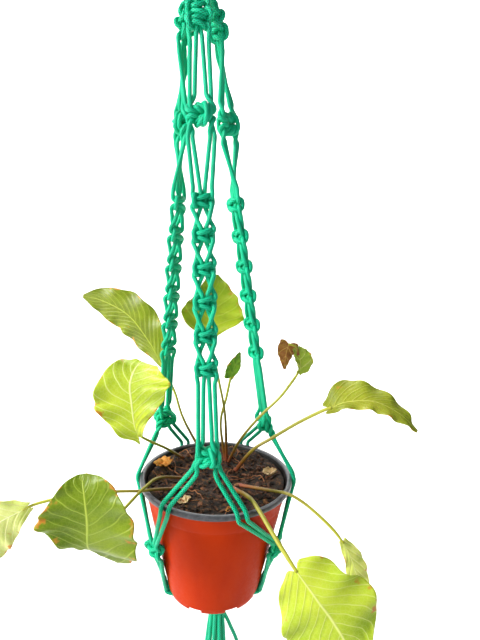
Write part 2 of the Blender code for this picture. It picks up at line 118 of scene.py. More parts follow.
view = dict(lens=26.66, place=(0.0248, -0.4104, -0.2595), pitch=10.07, roll=1.94, yaw=2.69)
pitch, roll, yaw = (math.radians(view[k]) for k in ("pitch", "roll", "yaw"))
forward = Vector((math.sin(yaw) * math.cos(pitch), math.cos(yaw) * math.cos(pitch), -math.sin(pitch)))
level = Vector((math.cos(yaw), -math.sin(yaw), 0))
upright = level.cross(forward)
right = level * math.cos(roll) + upright * math.sin(roll)
above = upright * math.cos(roll) - level * math.sin(roll)
camera = bpy.data.objects.new("camera", bpy.data.cameras.new("camera"))
bpy.context.scene.collection.objects.link(camera)
camera.data.lens = view["lens"]
camera.data.sensor_width = 36
camera.data.clip_start = 0.01
axes = Matrix((right, above, -forward)).transposed().to_4x4()
camera.matrix_world = Matrix.Translation(view["place"]) @ axes
bpy.context.scene.camera = camera

cord = dict(
    width=0.0035,             # braided cord, across
    pitch=0.0039,             # side by side
    loopPitch=0.0043,         # side by side over the hook
    rimDrop=0.478, slant=0.048, turnGap=0.0008,
    wallTopR=0.066, baseR=0.043, rimBand=0.0045,
    arms={"front": 268.4, "left": 148.0, "right": 18.6},
    cradles={"left": 211.0, "right": 331.0, "back": 91.0},
    pairs={"front": (235.0, 287.0), "left": (118.0, 180.0), "right": (358.0, 66.0)},
    drift={211.0: -20.0, 331.0: 20.0, 91.0: 0.0},     # turn of the cradle's cords by the base edge
    pairHalf=3.0,
    topWrap=(0.404, 0.434), baseWrap=(-0.1262, -0.1442), wrapR=0.0113,
    bundleIn=0.00225, bundleOut=0.00615, bundleTurn=36.5,
    tasselX=0.004, tasselLength=0.150,
    topKnot=(0.0143, 0.380), upperKnot=(0.0221, 0.3102), firstKnot=(0.0280, 0.2437),
    knotStep=(0.0034, -0.0262), knots=6, rimKnot=(0.0541, 0.0425), cradleKnot=(0.0622, -0.0560),
    turned={(1, 148.0): 58.0, (1, 18.6): -58.0},      # the side arms' upper knots face forward
    squash=0.06,              # how far two pressed cords give, as a share of their width
    ringGap=0.0007, sides=16,
)
width = cord["width"]


def onHanger(azimuth, radius, height, across=0.0, through=0.0):
    turn = math.radians(azimuth)
    out = Vector((math.cos(turn), math.sin(turn), 0))
    side = Vector((-math.sin(turn), math.cos(turn), 0))
    axis = Vector((cord["slant"] * (cord["rimDrop"] - height), 0, height - cord["rimDrop"]))
    return axis + out * (radius + through) + side * across


def atPot(azimuth, radius, height, across=0.0, through=0.0, shift=0.0):
    turn = math.radians(azimuth)
    out = Vector((math.cos(turn), math.sin(turn), 0))
    side = Vector((-math.sin(turn), math.cos(turn), 0))
    return Vector((potX + shift, 0, rimZ + height)) + out * (radius + through) + side * across


def wallRadius(height):
    share = (-height - cord["rimBand"]) / (potH - cord["rimBand"])
    return cord["wallTopR"] + (cord["baseR"] - cord["wallTopR"]) * share


def evenly(points, spacing):
    path = np.array([list(p) for p in points], float)
    ends = np.vstack([2 * path[0] - path[1], path, 2 * path[-1] - path[-2]])
    share = np.linspace(0, 1, 12, endpoint=False)[:, None]
    fine = []
    for p0, p1, p2, p3 in zip(ends, ends[1:], ends[2:], ends[3:]):
        fine.append(0.5 * (2 * p1 + (p2 - p0) * share + (2 * p0 - 5 * p1 + 4 * p2 - p3) * share ** 2
                           + (3 * p1 - p0 - 3 * p2 + p3) * share ** 3))
    fine = np.vstack(fine + [path[-1:]])
    run = np.concatenate([[0], np.cumsum(np.linalg.norm(np.diff(fine[:, :3], axis=0), axis=1))])
    places = np.linspace(0, run[-1], max(4, round(run[-1] / spacing)) + 1)
    return np.stack([np.interp(places, run, fine[:, k]) for k in range(path.shape[1])], 1)


# a loose knot is drawn tight: cords keep their width, shorten, and resist bending
def pullTight(lines, rounds, press=0.0):
    rounds = rounds
    counts = [len(line) for line in lines]
    points = np.vstack(lines)
    owner = np.repeat(np.arange(len(lines)), counts)
    total = len(points)
    held = np.zeros(total, bool)
    lastOnes = np.cumsum(counts) - 1
    for first, last in zip(lastOnes - np.array(counts) + 1, lastOnes):
        held[first:first + 2] = True
        held[last - 1:last + 1] = True
    i, j = np.triu_indices(total, 1)
    apart = (owner[i] != owner[j]) | (j - i > 5)
    i, j = i[apart], j[apart]
    link = np.where(owner[:-1] == owner[1:])[0]
    middle = np.array([k for k in range(1, total - 1) if owner[k - 1] == owner[k + 1] and not held[k]])
    start = np.array([np.linalg.norm(np.diff(lines[owner[k]], axis=0), axis=1).mean() for k in link])
    rest = start.copy()
    free = (~held).astype(float)[:, None]
    grow, closest = 150, 1.0
    for turn in range(rounds):
        reach = width * min(1.0, 0.55 + 0.45 * turn / grow)
        if turn > grow:
            tight = closest > 1 - cord["squash"]
            rest = np.minimum(start * 1.05, rest * (0.9975 if tight else 1.0015))
        for _ in range(2):
            step = points[link + 1] - points[link]
            size = np.linalg.norm(step, axis=1) + 1e-12
            part = step * ((size - rest) / size * 0.45)[:, None]
            shift = np.zeros_like(points)
            shift[link] += part
            shift[link + 1] -= part
            points += shift * free
        points[middle] += ((points[middle - 1] + points[middle + 1]) / 2 - points[middle]) * 0.10
        if press:         # the turns are pushed up against each other
            near = np.clip(1.6 - np.abs(points[:, 2:]) / 0.010, 0, 1)
            points[:, 2:] -= points[:, 2:] * near * press * free
        for _ in range(2):
            step = points[j] - points[i]
            size = np.linalg.norm(step, axis=1) + 1e-12
            touch = size < reach
            a, b = i[touch], j[touch]
            part = step[touch] * ((reach - size[touch]) / size[touch] * 0.5)[:, None]
            shift = np.stack([np.bincount(b, part[:, k], total) - np.bincount(a, part[:, k], total)
                              for k in range(3)], 1)
            hits = np.bincount(a, minlength=total) + np.bincount(b, minlength=total)
            points += shift / np.maximum(1, hits * 0.6)[:, None] * free
        closest = np.percentile(size[touch], 6) / reach if touch.any() else 1.0
    return np.split(points, lastOnes[:-1] + 1)


# square knot: the two outer cords tie round the two inner ones, once or twice; measures in mm
def squareKnot(top, bottom, times=1, rounds=600, press=0.004):
    half = [(-5.6, -1.4, 3.0), (-5.0, 0.2, -0.4), (-2.2, 3.8, -0.8), (2.0, 3.8, 0.8), (4.1, 0.4, 1.8),
            (5.7, -2.2, 1.2), (6.4, -0.8, -1.6)]
    step = 7.5
    leftCord, rightCord = [top[0]], [top[3]]
    for k in range(times * 2):
        sign = 1 if k % 2 == 0 else -1
        height = (times - 0.5 - k) * step
        leftCord += [(sign * x, y, z + height) for x, y, z in half]
        rightCord += [(-sign * x, -y, z + height) for x, y, z in half]
    leftCord.append(bottom[0])
    rightCord.append(bottom[3])
    lines = [leftCord, [top[1], (-1.9, 0, 0), bottom[1]], [top[2], (1.9, 0, 0), bottom[2]], rightCord]
    return pullTight([evenly(np.array(line) / 1000, 0.00125) for line in lines], rounds, press)


# reef knot tied with the cords doubled: two doubled bights hooked through each other
def reefKnot(top, bottom, rounds=800, press=0.005):
    bight = np.array([(-3.1, 0.1, 2.7), (-2.5, 0.7, 1.25), (-1.1, 0.3, 1.2), (0, -0.75, 2.0),
                      (1.0, -0.1, 3.0), (2.3, 0.7, 2.2), (2.9, 0.9, 0), (2.3, 0.7, -2.2),
                      (1.0, -0.1, -3.0), (0, -0.75, -2.0),
                      (-1.1, 0.3, -1.2), (-2.5, 0.7, -1.25), (-3.1, 0.1, -2.7)])
    lines = []
    for place, (half, lane) in enumerate([(-1, 1), (-1, -1), (1, -1), (1, 1)]):
        along = np.gradient(bight, axis=0)
        normal = np.stack([-along[:, 2], np.zeros(len(bight)), along[:, 0]], 1)
        normal /= np.linalg.norm(normal, axis=1)[:, None]
        route = (bight + normal * 0.5 * lane) * width
        if half > 0:
            route = route * np.array([-1, -1, 1])
        ends = [np.array(p) / 1000 for p in (top[place], bottom[place])]
        leads = [ends[0] - np.array([0, 0, 0.003]), ends[1] * (1 - 0.003 / np.linalg.norm(ends[1]))]
        lines.append(evenly(np.vstack([ends[0], leads[0], route, leads[1], ends[1]]), 0.00125))
    return pullTight(lines, rounds, press)


def rowOf(xs, ys, z):
    return [(x, y, z) for x, y in zip(xs, ys)]


crossOver = 13.2      # half the distance between two knots of a sinnet
spread = (-6.6, -2.3, 2.3, 6.6)
flat = (0, 0, 0, 0)
inFront = (-1.8, 1.8, 1.8, -1.8)
meet = (-5.0, -5.0, 5.0, 5.0)
behind = tuple(-y for y in inFront)
topTie = squareKnot(rowOf((-4.6, -1.9, 1.9, 4.6), flat, 17),
                    rowOf((-7.2, -2.4, 2.4, 7.2), (0, 1.2, 1.2, 0), -17), 2, 700)
upperTie = reefKnot(rowOf((-8.2, -4.4, 4.4, 8.2), flat, 16), rowOf((-10.6, -7.0, 7.0, 10.6), flat, -16))
firstTie = squareKnot(rowOf((-7.6, -2.2, 2.2, 7.6), flat, crossOver), rowOf(meet, behind, -crossOver))
middleTie = squareKnot(rowOf(meet, inFront, crossOver), rowOf(meet, behind, -crossOver))
lastTie = squareKnot(rowOf(meet, inFront, crossOver), rowOf(spread, flat, -crossOver))
cradleTie = squareKnot(rowOf((-7.6, -4.0, 4.0, 7.6), (-1.0, -0.6, -0.6, -1.0), 9.5),
                       rowOf((-5.8, -2.0, 2.0, 5.8), (-2.2, -0.4, -0.4, -2.2), -10.5), 1, 900, 0.010)
print("knots drawn tight")


def knotFrame(azimuth, low, high):
    turn = math.radians(azimuth)
    along = (high - low).normalized()
    across = Vector((-math.sin(turn), math.cos(turn), 0))
    across = (across - along * across.dot(along)).normalized()
    return across, across.cross(along), along


def putAt(line, centre, axes):
    across, through, along = (np.array(v) for v in axes)
    return np.array(centre) + line[:, :1] * across + line[:, 1:2] * through + line[:, 2:] * along


def armPlaces(azimuth):
    places = [cord["topKnot"], cord["upperKnot"]]
    for k in range(cord["knots"]):
        places.append(tuple(a + b * k for a, b in zip(cord["firstKnot"], cord["knotStep"])))
    places.append(cord["rimKnot"])
    centres = [onHanger(azimuth, r, z) for r, z in places]
    out = []
    for k, centre in enumerate(centres):
        high, low = centres[max(k - 1, 0)], centres[min(k + 1, len(centres) - 1)]
        turned = cord["turned"].get((k, azimuth), 0.0)
        out.append((centre, knotFrame(azimuth + turned, low, high)))
    return out


def bundlePlace(azimuth, slot):
    turned = {0: -cord["bundleTurn"], 1: 0.0, 2: cord["bundleTurn"], 3: 0.0}[slot]
    return (cord["bundleIn"] if slot == 3 else cord["bundleOut"]), azimuth + turned


def leaveWrap(azimuth, slot):
    out = []
    low, high = cord["topWrap"]
    radius, turn = bundlePlace(azimuth, slot)
    for height in (high, (low + high) / 2, low - 0.001):
        out.append(onHanger(turn, radius, height))
    return np.array([list(p) for p in out])


def cradleFrame(azimuth):
    height = cord["cradleKnot"][1]
    low = atPot(azimuth, wallRadius(height - 0.02), height - 0.02)
    high = atPot(azimuth, wallRadius(height + 0.02), height + 0.02)
    return knotFrame(azimuth, low, high)


def overRim(pairAzimuth, column):
    turn = cord["pairHalf"] * (1 if column in (1, 3) else -1)
    rest = width / 2 + cord["turnGap"]
    shape = [(rimR + rest * 0.50, 0.0020), (rimR + rest * 0.9, -0.0040)]
    return np.array([list(atPot(pairAzimuth + turn, r, z)) for r, z in shape])


def makeRimTie(arm):
    centre, axes = armPlaces(cord["arms"][arm])[-1]
    bottom = []
    for column in range(4):       # each pair leaves the knot towards its own place on the rim
        target = Vector(overRim(cord["pairs"][arm][column // 2], column)[0]) - centre
        aim = Vector([target.dot(axis) for axis in axes]).normalized()
        beside = Vector((-aim.z, 0, aim.x)).normalized() * (-1.9 if column in (0, 2) else 1.9)
        bottom.append(tuple(aim * 17.0 + beside))
    return reefKnot(rowOf((-7.4, -3.6, 3.6, 7.4), flat, 15), bottom)


def belowCradle(azimuth, place):
    lane = (-0.0066, -0.0022, 0.0022, 0.0066)[place]
    rest = width / 2 + cord["turnGap"]
    under = -potH - rest
    drift = cord["drift"][azimuth]
    points = [atPot(azimuth + drift * 0.3, wallRadius(-0.080) + rest + 0.0016, -0.080, lane),
              atPot(azimuth + drift, cord["baseR"] + rest + 0.0014, -0.107, lane),
              atPot(azimuth + drift, cord["baseR"] - 0.0012, under, lane)]
    radius, turn = bundlePlace(azimuth, {0: 0, 1: 3, 2: 1, 3: 2}[place])
    inner = radius == cord["bundleIn"]
    sink = under - 0.0012 if inner else under - 0.0070
    shift = cord["tasselX"]
    points.append(atPot(turn, radius + (0.0068 if inner else 0.0060), sink, shift=shift))
    points.append(atPot(turn, radius + 0.0009, sink - 0.0020, shift=shift))
    points.append(atPot(turn, radius, cord["baseWrap"][0] + 0.0024, shift=shift))
    points.append(atPot(turn, radius, cord["baseWrap"][0] - 0.0040, shift=shift))
    return np.array([list(p) for p in points])


def strand(arm, slot):
    azimuth = cord["arms"][arm]
    places = armPlaces(azimuth)
    parts = [leaveWrap(azimuth, slot), putAt(topTie[slot], *places[0]), putAt(upperTie[slot], *places[1])]
    for k in range(cord["knots"]):
        tie = firstTie if k == 0 else lastTie if k == cord["knots"] - 1 else middleTie
        column = slot if k % 2 == 0 else (1, 0, 3, 2)[slot]
        parts.append(putAt(tie[column], *places[2 + k]))
    column = slot if cord["knots"] % 2 else (1, 0, 3, 2)[slot]
    parts.append(putAt(rimTies[arm][column], *places[-1]))
    pair = cord["pairs"][arm][0 if column < 2 else 1]
    cradle = min(cord["cradles"].values(), key=lambda a: abs((a - pair + 180) % 360 - 180))
    parts.append(overRim(pair, column))
    place = (2, 3, 0, 1)[column]
    parts.append(putAt(cradleTie[place], atPot(cradle, *cord["cradleKnot"]), cradleFrame(cradle)))
    parts.append(belowCradle(cradle, place))
    route = [parts[0]]
    for part in parts[1:]:
        gap = np.linalg.norm(part[0] - route[-1][-1])
        if gap < 0.003:
            route.append(part[1:])
            continue
        between = np.linspace(route[-1][-1], part[0], max(2, round(gap / 0.005)) + 1)[1:-1]
        route += [between, part]
    return np.vstack(route)


def loopHalf(row, layer):
    out = width / 2 + cord["pitch"] * layer
    crown = 0.0130
    shape = [(0.0, 0.0, 1.0), (crown * 0.72, -crown * 0.30, 0.7), (crown, -crown, 0.0),
             (crown * 0.88, -crown * 1.60, -0.35), (crown * 0.48, -crown * 2.25, -0.55),
             (crown * 0.20, -crown * 2.80, -0.15)]
    points = []
    for x, z, rise in shape:
        sideways = math.sqrt(1 - rise * rise) if x else 0.0
        points.append((cord["slant"] * -z, x + out * sideways, row * cord["loopPitch"], z + out * rise))
    return points


loopCords = {
    "a": (("front", 0), ("front", 2), -1, 1), "b": (("left", 2), ("right", 0), 0, 1),
    "c": (("left", 1), ("right", 1), 1, 1), "d": (("front", 1), ("front", 3), -1, 0),
    "e": (("left", 3), ("right", 3), 0, 0), "f": (("left", 0), ("right", 2), 1, 0),
}


# cords that cross are eased apart and kept off the pot
def easeApart(lines, rounds):
    counts = [len(line) for line in lines]
    points = np.vstack(lines)
    owner = np.repeat(np.arange(len(lines)), counts)
    ends = np.cumsum(counts)
    still = np.zeros(len(points), bool)
    for first, last in zip(ends - np.array(counts), ends):
        still[first:first + 3] = True
        still[last - 3:last] = True
    reach = width * (1 - cord["squash"])
    rest = width / 2 + cord["turnGap"] * 0.6
    for _ in range(rounds):
        tree = kdtree.KDTree(len(points))
        for k, p in enumerate(points):
            tree.insert(p, k)
        tree.balance()
        shift = np.zeros_like(points)
        hits = np.zeros(len(points))
        for k, p in enumerate(points):
            for other, m, distance in tree.find_range(p, reach):
                if m <= k or (owner[m] == owner[k] and m - k < 7):
                    continue
                push = (points[m] - p) * ((reach - distance) / max(distance, 1e-6) * 0.5)
                shift[m] += push
                shift[k] -= push
                hits[m] += 1
                hits[k] += 1
        shift /= np.maximum(1, hits * 0.7)[:, None]
        shift[still] = 0
        points += shift
        height = points[:, 2] - rimZ
        fromAxis = points[:, :2] - np.array([potX, 0])
        radius = np.linalg.norm(fromAxis, axis=1)
        taper = (cord["baseR"] - cord["wallTopR"]) * (-height - cord["rimBand"]) / (potH - cord["rimBand"])
        wall = np.where(height > -cord["rimBand"] - 0.001, rimR, cord["wallTopR"] + taper)
        inside = (height < 0.0) & (height > -potH) & (radius < wall + rest)
        points[inside, :2] += fromAxis[inside] * ((wall + rest - radius) / radius)[inside, None]
        smooth = points.copy()
        give = np.where((height > -0.016) & (height < 0.031), 0.5, 0.1)[1:-1, None]      # taut over the rim
        smooth[1:-1] = points[1:-1] * (1 - give) + (points[:-2] + points[2:]) * give / 2
        inner = np.zeros(len(points), bool)
        inner[1:-1] = owner[:-2] == owner[2:]
        points[inner] = smooth[inner]
    return np.split(points, ends[:-1])


beadLong = 0.0011  # how much of a cut end is melted round


def braidTube(name, route, seal=False):
    points = evenly(route, cord["ringGap"])
    count, sides = len(points), cord["sides"]
    along = np.gradient(points, axis=0)
    along /= np.linalg.norm(along, axis=1)[:, None]
    side = np.cross(along[0], [0, 1, 0.3])
    sideways = np.zeros_like(points)
    for k in range(count):
        side = side - along[k] * side.dot(along[k])
        side = side / np.linalg.norm(side)
        sideways[k] = side
    other = np.cross(along, sideways)
    turn = np.arange(sides) * 2 * math.pi / sides
    run = np.arange(count) * cord["ringGap"]
    lay = run[:, None] * 2 * math.pi / braid["rise"]
    ridge = np.maximum(np.cos(turn * braid["lobes"] + lay), np.cos(turn * braid["lobes"] - lay))
    radius = width / 2 * (1.07 - braid["depth"] * (1 - ridge) / 2)
    if seal:          # the cut end, melted to a small round bead
        back = (count - 1 - np.arange(count)) * cord["ringGap"]
        bead = np.sqrt(np.clip(1 - ((beadLong - back) / beadLong) ** 2, 0.06, 1)) * 1.02
        radius = radius * np.where(back < beadLong, bead, 1)[:, None]
    rings = (points[:, None, :] + sideways[:, None, :] * (np.cos(turn) * radius)[:, :, None]
             + other[:, None, :] * (np.sin(turn) * radius)[:, :, None])
    first = np.arange(count - 1)[:, None] * sides + np.arange(sides)
    after = np.arange(count - 1)[:, None] * sides + (np.arange(sides) + 1) % sides
    quads = np.stack([first, after, after + sides, first + sides], 2).reshape(-1, 4)
    faces = quads.tolist()
    faces.append(list(range(sides))[::-1])
    faces.append([(count - 1) * sides + k for k in range(sides)])
    mesh = bpy.data.meshes.new(name)
    mesh.from_pydata(rings.reshape(-1, 3).tolist(), [], faces)
    layer = mesh.uv_layers.new(name="alongCord")
    u = np.arange(sides) / sides
    corner = np.zeros((count - 1, sides, 4, 2))
    corner[:, :, 0, 0] = corner[:, :, 3, 0] = u
    corner[:, :, 1, 0] = corner[:, :, 2, 0] = u + 1 / sides
    corner[:, :, 0, 1] = corner[:, :, 1, 1] = run[:-1, None]
    corner[:, :, 2, 1] = corner[:, :, 3, 1] = run[1:, None]
    caps = np.zeros((2 * sides, 2))
    layer.data.foreach_set("uv", np.concatenate([corner.reshape(-1), caps.reshape(-1)]).astype(np.float32))
    mesh.shade_smooth()
    obj = bpy.data.objects.new(name, mesh)
    bpy.context.scene.collection.objects.link(obj)
    return obj


# polypropylene cord, braided from 16 ends: a herringbone of small ridges and grooves, coloured with a
# painted highlight on the ridges and painted shade in the grooves
braid = dict(lobes=6, rise=0.0026, depth=0.13, ridge="#14e0a8", mid="#02ae7e", paintedGrooveShade="#00452e", rough=0.50)


def makeBraid():
    material, tree = newMaterial("braided polypropylene cord")
    uv = node(tree, "UVMap", uv_map="alongCord")
    parts = node(tree, "SeparateXYZ", {"Vector": uv})
    around = maths(tree, "MULTIPLY", parts.outputs["X"], 2 * math.pi * braid["lobes"])
    along = maths(tree, "MULTIPLY", parts.outputs["Y"], 2 * math.pi / braid["rise"])
    waves = []
    for step in ("ADD", "SUBTRACT"):
        both = maths(tree, step, around, along)
        waves.append(maths(tree, "COSINE", both))
    ridge = maths(tree, "MAXIMUM", waves[0], waves[1])
    height = node(tree, "MapRange", {"Value": ridge, "From Min": -1.0, "From Max": 1.0})
    threads = maths(tree, "MULTIPLY", parts.outputs["X"], 2 * math.pi * 40)
    fine = maths(tree, "ADD", threads, along)
    fine = maths(tree, "SINE", fine)
    relief = maths(tree, "MULTIPLY_ADD", fine, 0.12, height)
    blotch = noiseOf(tree, 60.0)
    shade = maths(tree, "MULTIPLY_ADD", blotch, 0.35, -0.175)
    shade = maths(tree, "ADD", height, shade)
    # the ramp paints shade into the grooves and a highlight onto the ridges, with random blotches on top
    tint = node(tree, "ValToRGB", {"Fac": shade},
                ramp=[(0.30, braid["paintedGrooveShade"]), (0.60, braid["mid"]), (0.98, braid["ridge"])])
    bump = node(tree, "Bump", {"Height": relief, "Strength": 0.5, "Distance": 0.0003})
    finishShader(tree, {"Base Color": tint.outputs["Color"], "Roughness": braid["rough"],
                        "Normal": bump.outputs["Normal"], "Specular IOR Level": 0.25})
    return material


cordBraid = makeBraid()
rimTies = {arm: makeRimTie(arm) for arm in cord["arms"]}

routes = []
for first, second, row, layer in loopCords.values():
    half = loopHalf(row, layer)
    leftSide = [(base - x, y, z) for base, x, y, z in half][::-1]
    rightSide = [(base + x, y, z) for base, x, y, z in half[1:]]
    route = np.vstack([strand(*first)[::-1], leftSide, rightSide, strand(*second)])
    routes.append(evenly(route, 0.0012))
routes = easeApart(routes, 14)
replacedBy = {name: [f"cord_{name}"] for name in loopCords}
ties = ["top_knot", "upper_knot", *[f"square_knot_{k + 1}" for k in range(cord["knots"])], "rim_knot"]
for arm, name in zip(("front", "left", "right"), "abf"):
    replacedBy[name] += [f"{arm}_{tie}" for tie in ties]
for side, name in zip(("left", "right", "back"), "dec"):
    replacedBy[name].append(f"{side}_cradle_knot")
for name, route in zip("abcdef", routes):
    piece = braidTube(f"hangerCord_{name}", route)
    dress(piece, cordBraid)
    settle(piece, "hanger", replacedBy[name])
    print("hanger cord", name, round(float(np.linalg.norm(np.diff(route, axis=0), axis=1).sum()), 3), "m")


# gathering wraps: one cord wound round the whole bundle
def wrapCoil(name, bottom, top, centreAt, body, replaced):
    turns = (top - bottom) / (width * 1.04)
    coilR = cord["wrapR"] - width / 2
    steps = int(turns * 20)
    points = []
    for k in range(steps + 1):
        share = k / steps
        turn = 360 * (turns - 1) * share
        height = bottom + width / 2 + (top - bottom - width) * share
        points.append(list(centreAt(turn, coilR, height)))
    piece = braidTube(name, points)
    dress(piece, cordBraid)
    settle(piece, body, replaced)


wrapCoil("topWrapCoil", *cord["topWrap"], onHanger, "hanger", ["top_wrap"])
wrapCoil("baseWrapCoil", cord["baseWrap"][1], cord["baseWrap"][0],
         lambda turn, radius, height: atPot(turn, radius, height, shift=cord["tasselX"]),
         "base_knot", ["base_wrap"])

# the tassel: twelve loose ends
tailTop = cord["baseWrap"][1] - 0.0024
for k in range(12):
    ring, count = (cord["bundleOut"], 9) if k < 9 else (cord["bundleIn"], 3)
    turn = 360 * (k if k < 9 else k - 9) / count + 11
    stray = 0.0125 if k == 0 else 0.0
    length = cord["tasselLength"] + 0.006 * math.sin(k * 2.4)
    flare = 0.0045 + 0.0015 * math.cos(k * 1.7)
    route = []
    for share, spreading in ((0, 0), (0.12, 0.25), (0.3, 0.55), (0.6, 0.8), (1, 1)):
        radius = ring + flare * spreading * (ring / cord["bundleOut"] + 0.3)
        radius += stray * min(1.0, spreading * 1.8)
        route.append(atPot(turn, radius, tailTop - length * share, shift=cord["tasselX"]))
    inside = atPot(turn, ring, tailTop + 0.0055, shift=cord["tasselX"])
    path = evenly([inside] + route, 0.003)
    tail = braidTube(f"tasselTail_{k + 1}", path, seal=True)
    dress(tail, cordBraid)
    settle(tail, "tassel", [f"tassel_tail_{k + 1}"])
print("tassel hung")

pot = dict(notch=(0.016, 0.0125, 0.0064), foot=0.005, wall=0.0016, stepDrop=0.020, stepIn=0.0008, faces=128,
           body="#c03400", bodyDeep="#b72e00", rough=0.48)


def makePotPlastic():
    # injection moulded polypropylene: a soft satin gloss, faint flow marks and scuffs
    material, tree = newMaterial("moulded polypropylene, orange-red")
    place = node(tree, "TexCoord")
    flow = node(tree, "Mapping", {"Vector": place.outputs["Object"], "Scale": (1.0, 1.0, 0.25)})
    cloud = node(tree, "TexNoise", {"Vector": flow, "Scale": 55.0, "Detail": 5.0})
    tint = node(tree, "ValToRGB", {"Fac": cloud},
                ramp=[(0.30, pot["bodyDeep"]), (0.62, pot["body"])])
    scuff = noiseOf(tree, 420.0, 3.0)
    dull = node(tree, "MapRange", {"Value": scuff, "From Min": 0.35, "From Max": 0.75,
                                   "To Min": pot["rough"] - 0.06, "To Max": pot["rough"] + 0.14})
    bump = node(tree, "Bump", {"Height": scuff, "Strength": 0.10, "Distance": 0.0004})
    finishShader(tree, {"Base Color": tint.outputs["Color"], "Roughness": dull.outputs["Result"],
                        "Normal": bump.outputs["Normal"], "Specular IOR Level": 0.05})
    return material


def makeRimPlastic(name, tone, rough):
    # the same plastic, run dark over the rim and the lining
    material, tree = newMaterial(name)
    cloud = noiseOf(tree, 300.0, 4.0)
    tint = node(tree, "ValToRGB", {"Fac": cloud}, ramp=[(0.35, tone[0]), (0.70, tone[1])])
    bump = node(tree, "Bump", {"Height": cloud, "Strength": 0.15, "Distance": 0.0004})
    finishShader(tree, {"Base Color": tint.outputs["Color"], "Roughness": rough,
                        "Normal": bump.outputs["Normal"]})
    return material


def turnedPiece(name, profile, sides, centre):
    (startR, startZ), rest = profile[0], profile[1:]
    bpy.ops.object.select_all(action="DESELECT")
    bpy.ops.mesh.primitive_circle_add(vertices=sides, radius=startR,
                                      location=(centre[0], centre[1], startZ))
    obj = bpy.context.active_object
    obj.name = name
    bpy.ops.object.transform_apply(location=True, rotation=True, scale=True)
    bpy.ops.object.mode_set(mode="EDIT")
    bpy.ops.mesh.select_mode(type="VERT")
    bpy.ops.mesh.select_all(action="SELECT")
    bpy.ops.mesh.edge_face_add()
    bpy.ops.mesh.select_all(action="SELECT")
    bpy.ops.mesh.delete(type="ONLY_FACE")
    bpy.ops.mesh.select_all(action="SELECT")
    radius, height = startR, startZ
    for nextR, nextZ in rest:
        bpy.ops.mesh.extrude_edges_move(TRANSFORM_OT_translate={"value": (0, 0, nextZ - height)})
        grow = nextR / radius
        bpy.ops.transform.resize(value=(grow, grow, 1), center_override=(centre[0], centre[1], nextZ))
        radius, height = nextR, nextZ
    bpy.ops.object.mode_set(mode="OBJECT")
    return obj


def closeAndOrient(obj):
    bpy.context.view_layer.objects.active = obj
    bpy.ops.object.mode_set(mode="EDIT")
    bpy.ops.mesh.select_all(action="SELECT")
    bpy.ops.mesh.remove_doubles(threshold=0.00001)
    bpy.ops.mesh.fill_holes(sides=0)
    bpy.ops.mesh.select_all(action="SELECT")
    bpy.ops.mesh.normals_make_consistent(inside=False)
    bpy.ops.object.mode_set(mode="OBJECT")


def applyAll(obj):
    bpy.ops.object.select_all(action="DESELECT")
    obj.select_set(True)
    bpy.context.view_layer.objects.active = obj
    for modifier in list(obj.modifiers):
        bpy.ops.object.modifier_apply(modifier=modifier.name)


foot, wall, baseR, topR = pot["foot"], pot["wall"], cord["baseR"], cord["wallTopR"]
stepR = wallRadius(-pot["stepDrop"])
profile = [
    (0.004, -potH + foot), (0.012, -potH + foot), (0.022, -potH + foot), (baseR - 0.0058, -potH + foot),
    (baseR - 0.0050, -potH + foot * 0.85), (baseR - 0.0042, -potH + 0.0005), (baseR - 0.0037, -potH),
    (baseR - 0.0005, -potH), (baseR, -potH + 0.0005), (baseR + 0.0012, -potH + 0.006),
    (wallRadius(-0.085), -0.085), (wallRadius(-0.060), -0.060), (wallRadius(-0.038), -0.038),
    (stepR - pot["stepIn"] * 1.3, -pot["stepDrop"] - 0.0036),
    (stepR - pot["stepIn"], -pot["stepDrop"] - 0.0012),
    (stepR - pot["stepIn"] * 0.5, -pot["stepDrop"] - 0.0004), (stepR, -pot["stepDrop"] + 0.0004),
    (wallRadius(-0.012), -0.012), (topR - 0.0003, -0.0064), (topR + 0.0003, -0.0052),
    (rimR - 0.0012, -0.0048),
    (rimR - 0.0004, -0.0045), (rimR, -0.0038), (rimR, -0.0014), (rimR - 0.0004, -0.0005),
    (rimR - 0.0012, -0.0001),
    (rimR - 0.0022, 0.0), (rimR - 0.0032, -0.0001), (rimR - 0.0040, -0.0006), (rimR - 0.0046, -0.0016),
    (topR - wall, -0.0062), (wallRadius(-0.035) - wall, -0.035), (baseR - 0.0012, -potH + foot + 0.010),
    (baseR - 0.0024, -potH + foot + wall * 1.5), (baseR - 0.0034, -potH + foot + wall),
    (0.022, -potH + foot + wall),
    (0.012, -potH + foot + wall), (0.004, -potH + foot + wall)]
potBody = turnedPiece("nurseryPotBody", [(r, rimZ + z) for r, z in profile], pot["faces"], (potX, 0))
closeAndOrient(potBody)
cutters = []
for k in range(8):          # the foot ring stands on eight feet, with water gaps between
    azimuth = 22.5 + 45 * k
    bpy.ops.mesh.primitive_cube_add(size=1.0, location=atPot(azimuth, baseR, -potH))
    cutter = bpy.context.active_object
    cutter.scale = pot["notch"]
    cutter.rotation_euler = (0, 0, math.radians(azimuth))
    bpy.ops.object.transform_apply(location=True, rotation=True, scale=True)
    cutters.append(cutter)
for k in range(4):
    bpy.ops.mesh.primitive_cylinder_add(vertices=24, radius=0.004, depth=0.010,
                                        location=atPot(90 * k + 15, 0.024, -potH + foot))
    bpy.ops.object.transform_apply(location=True, rotation=True, scale=True)
    cutters.append(bpy.context.active_object)
for cutter in cutters:
    cut = potBody.modifiers.new(cutter.name, "BOOLEAN")
    cut.operation = "DIFFERENCE"
    cut.object = cutter
applyAll(potBody)
for cutter in cutters:
    bpy.data.objects.remove(cutter)
dress(potBody, makePotPlastic(),
      makeRimPlastic("moulded polypropylene, dark rim", ("#3b3b40", "#55555b"), 0.34),
      makeRimPlastic("moulded polypropylene, black lining", ("#0f0c0a", "#1e1814"), 0.5))
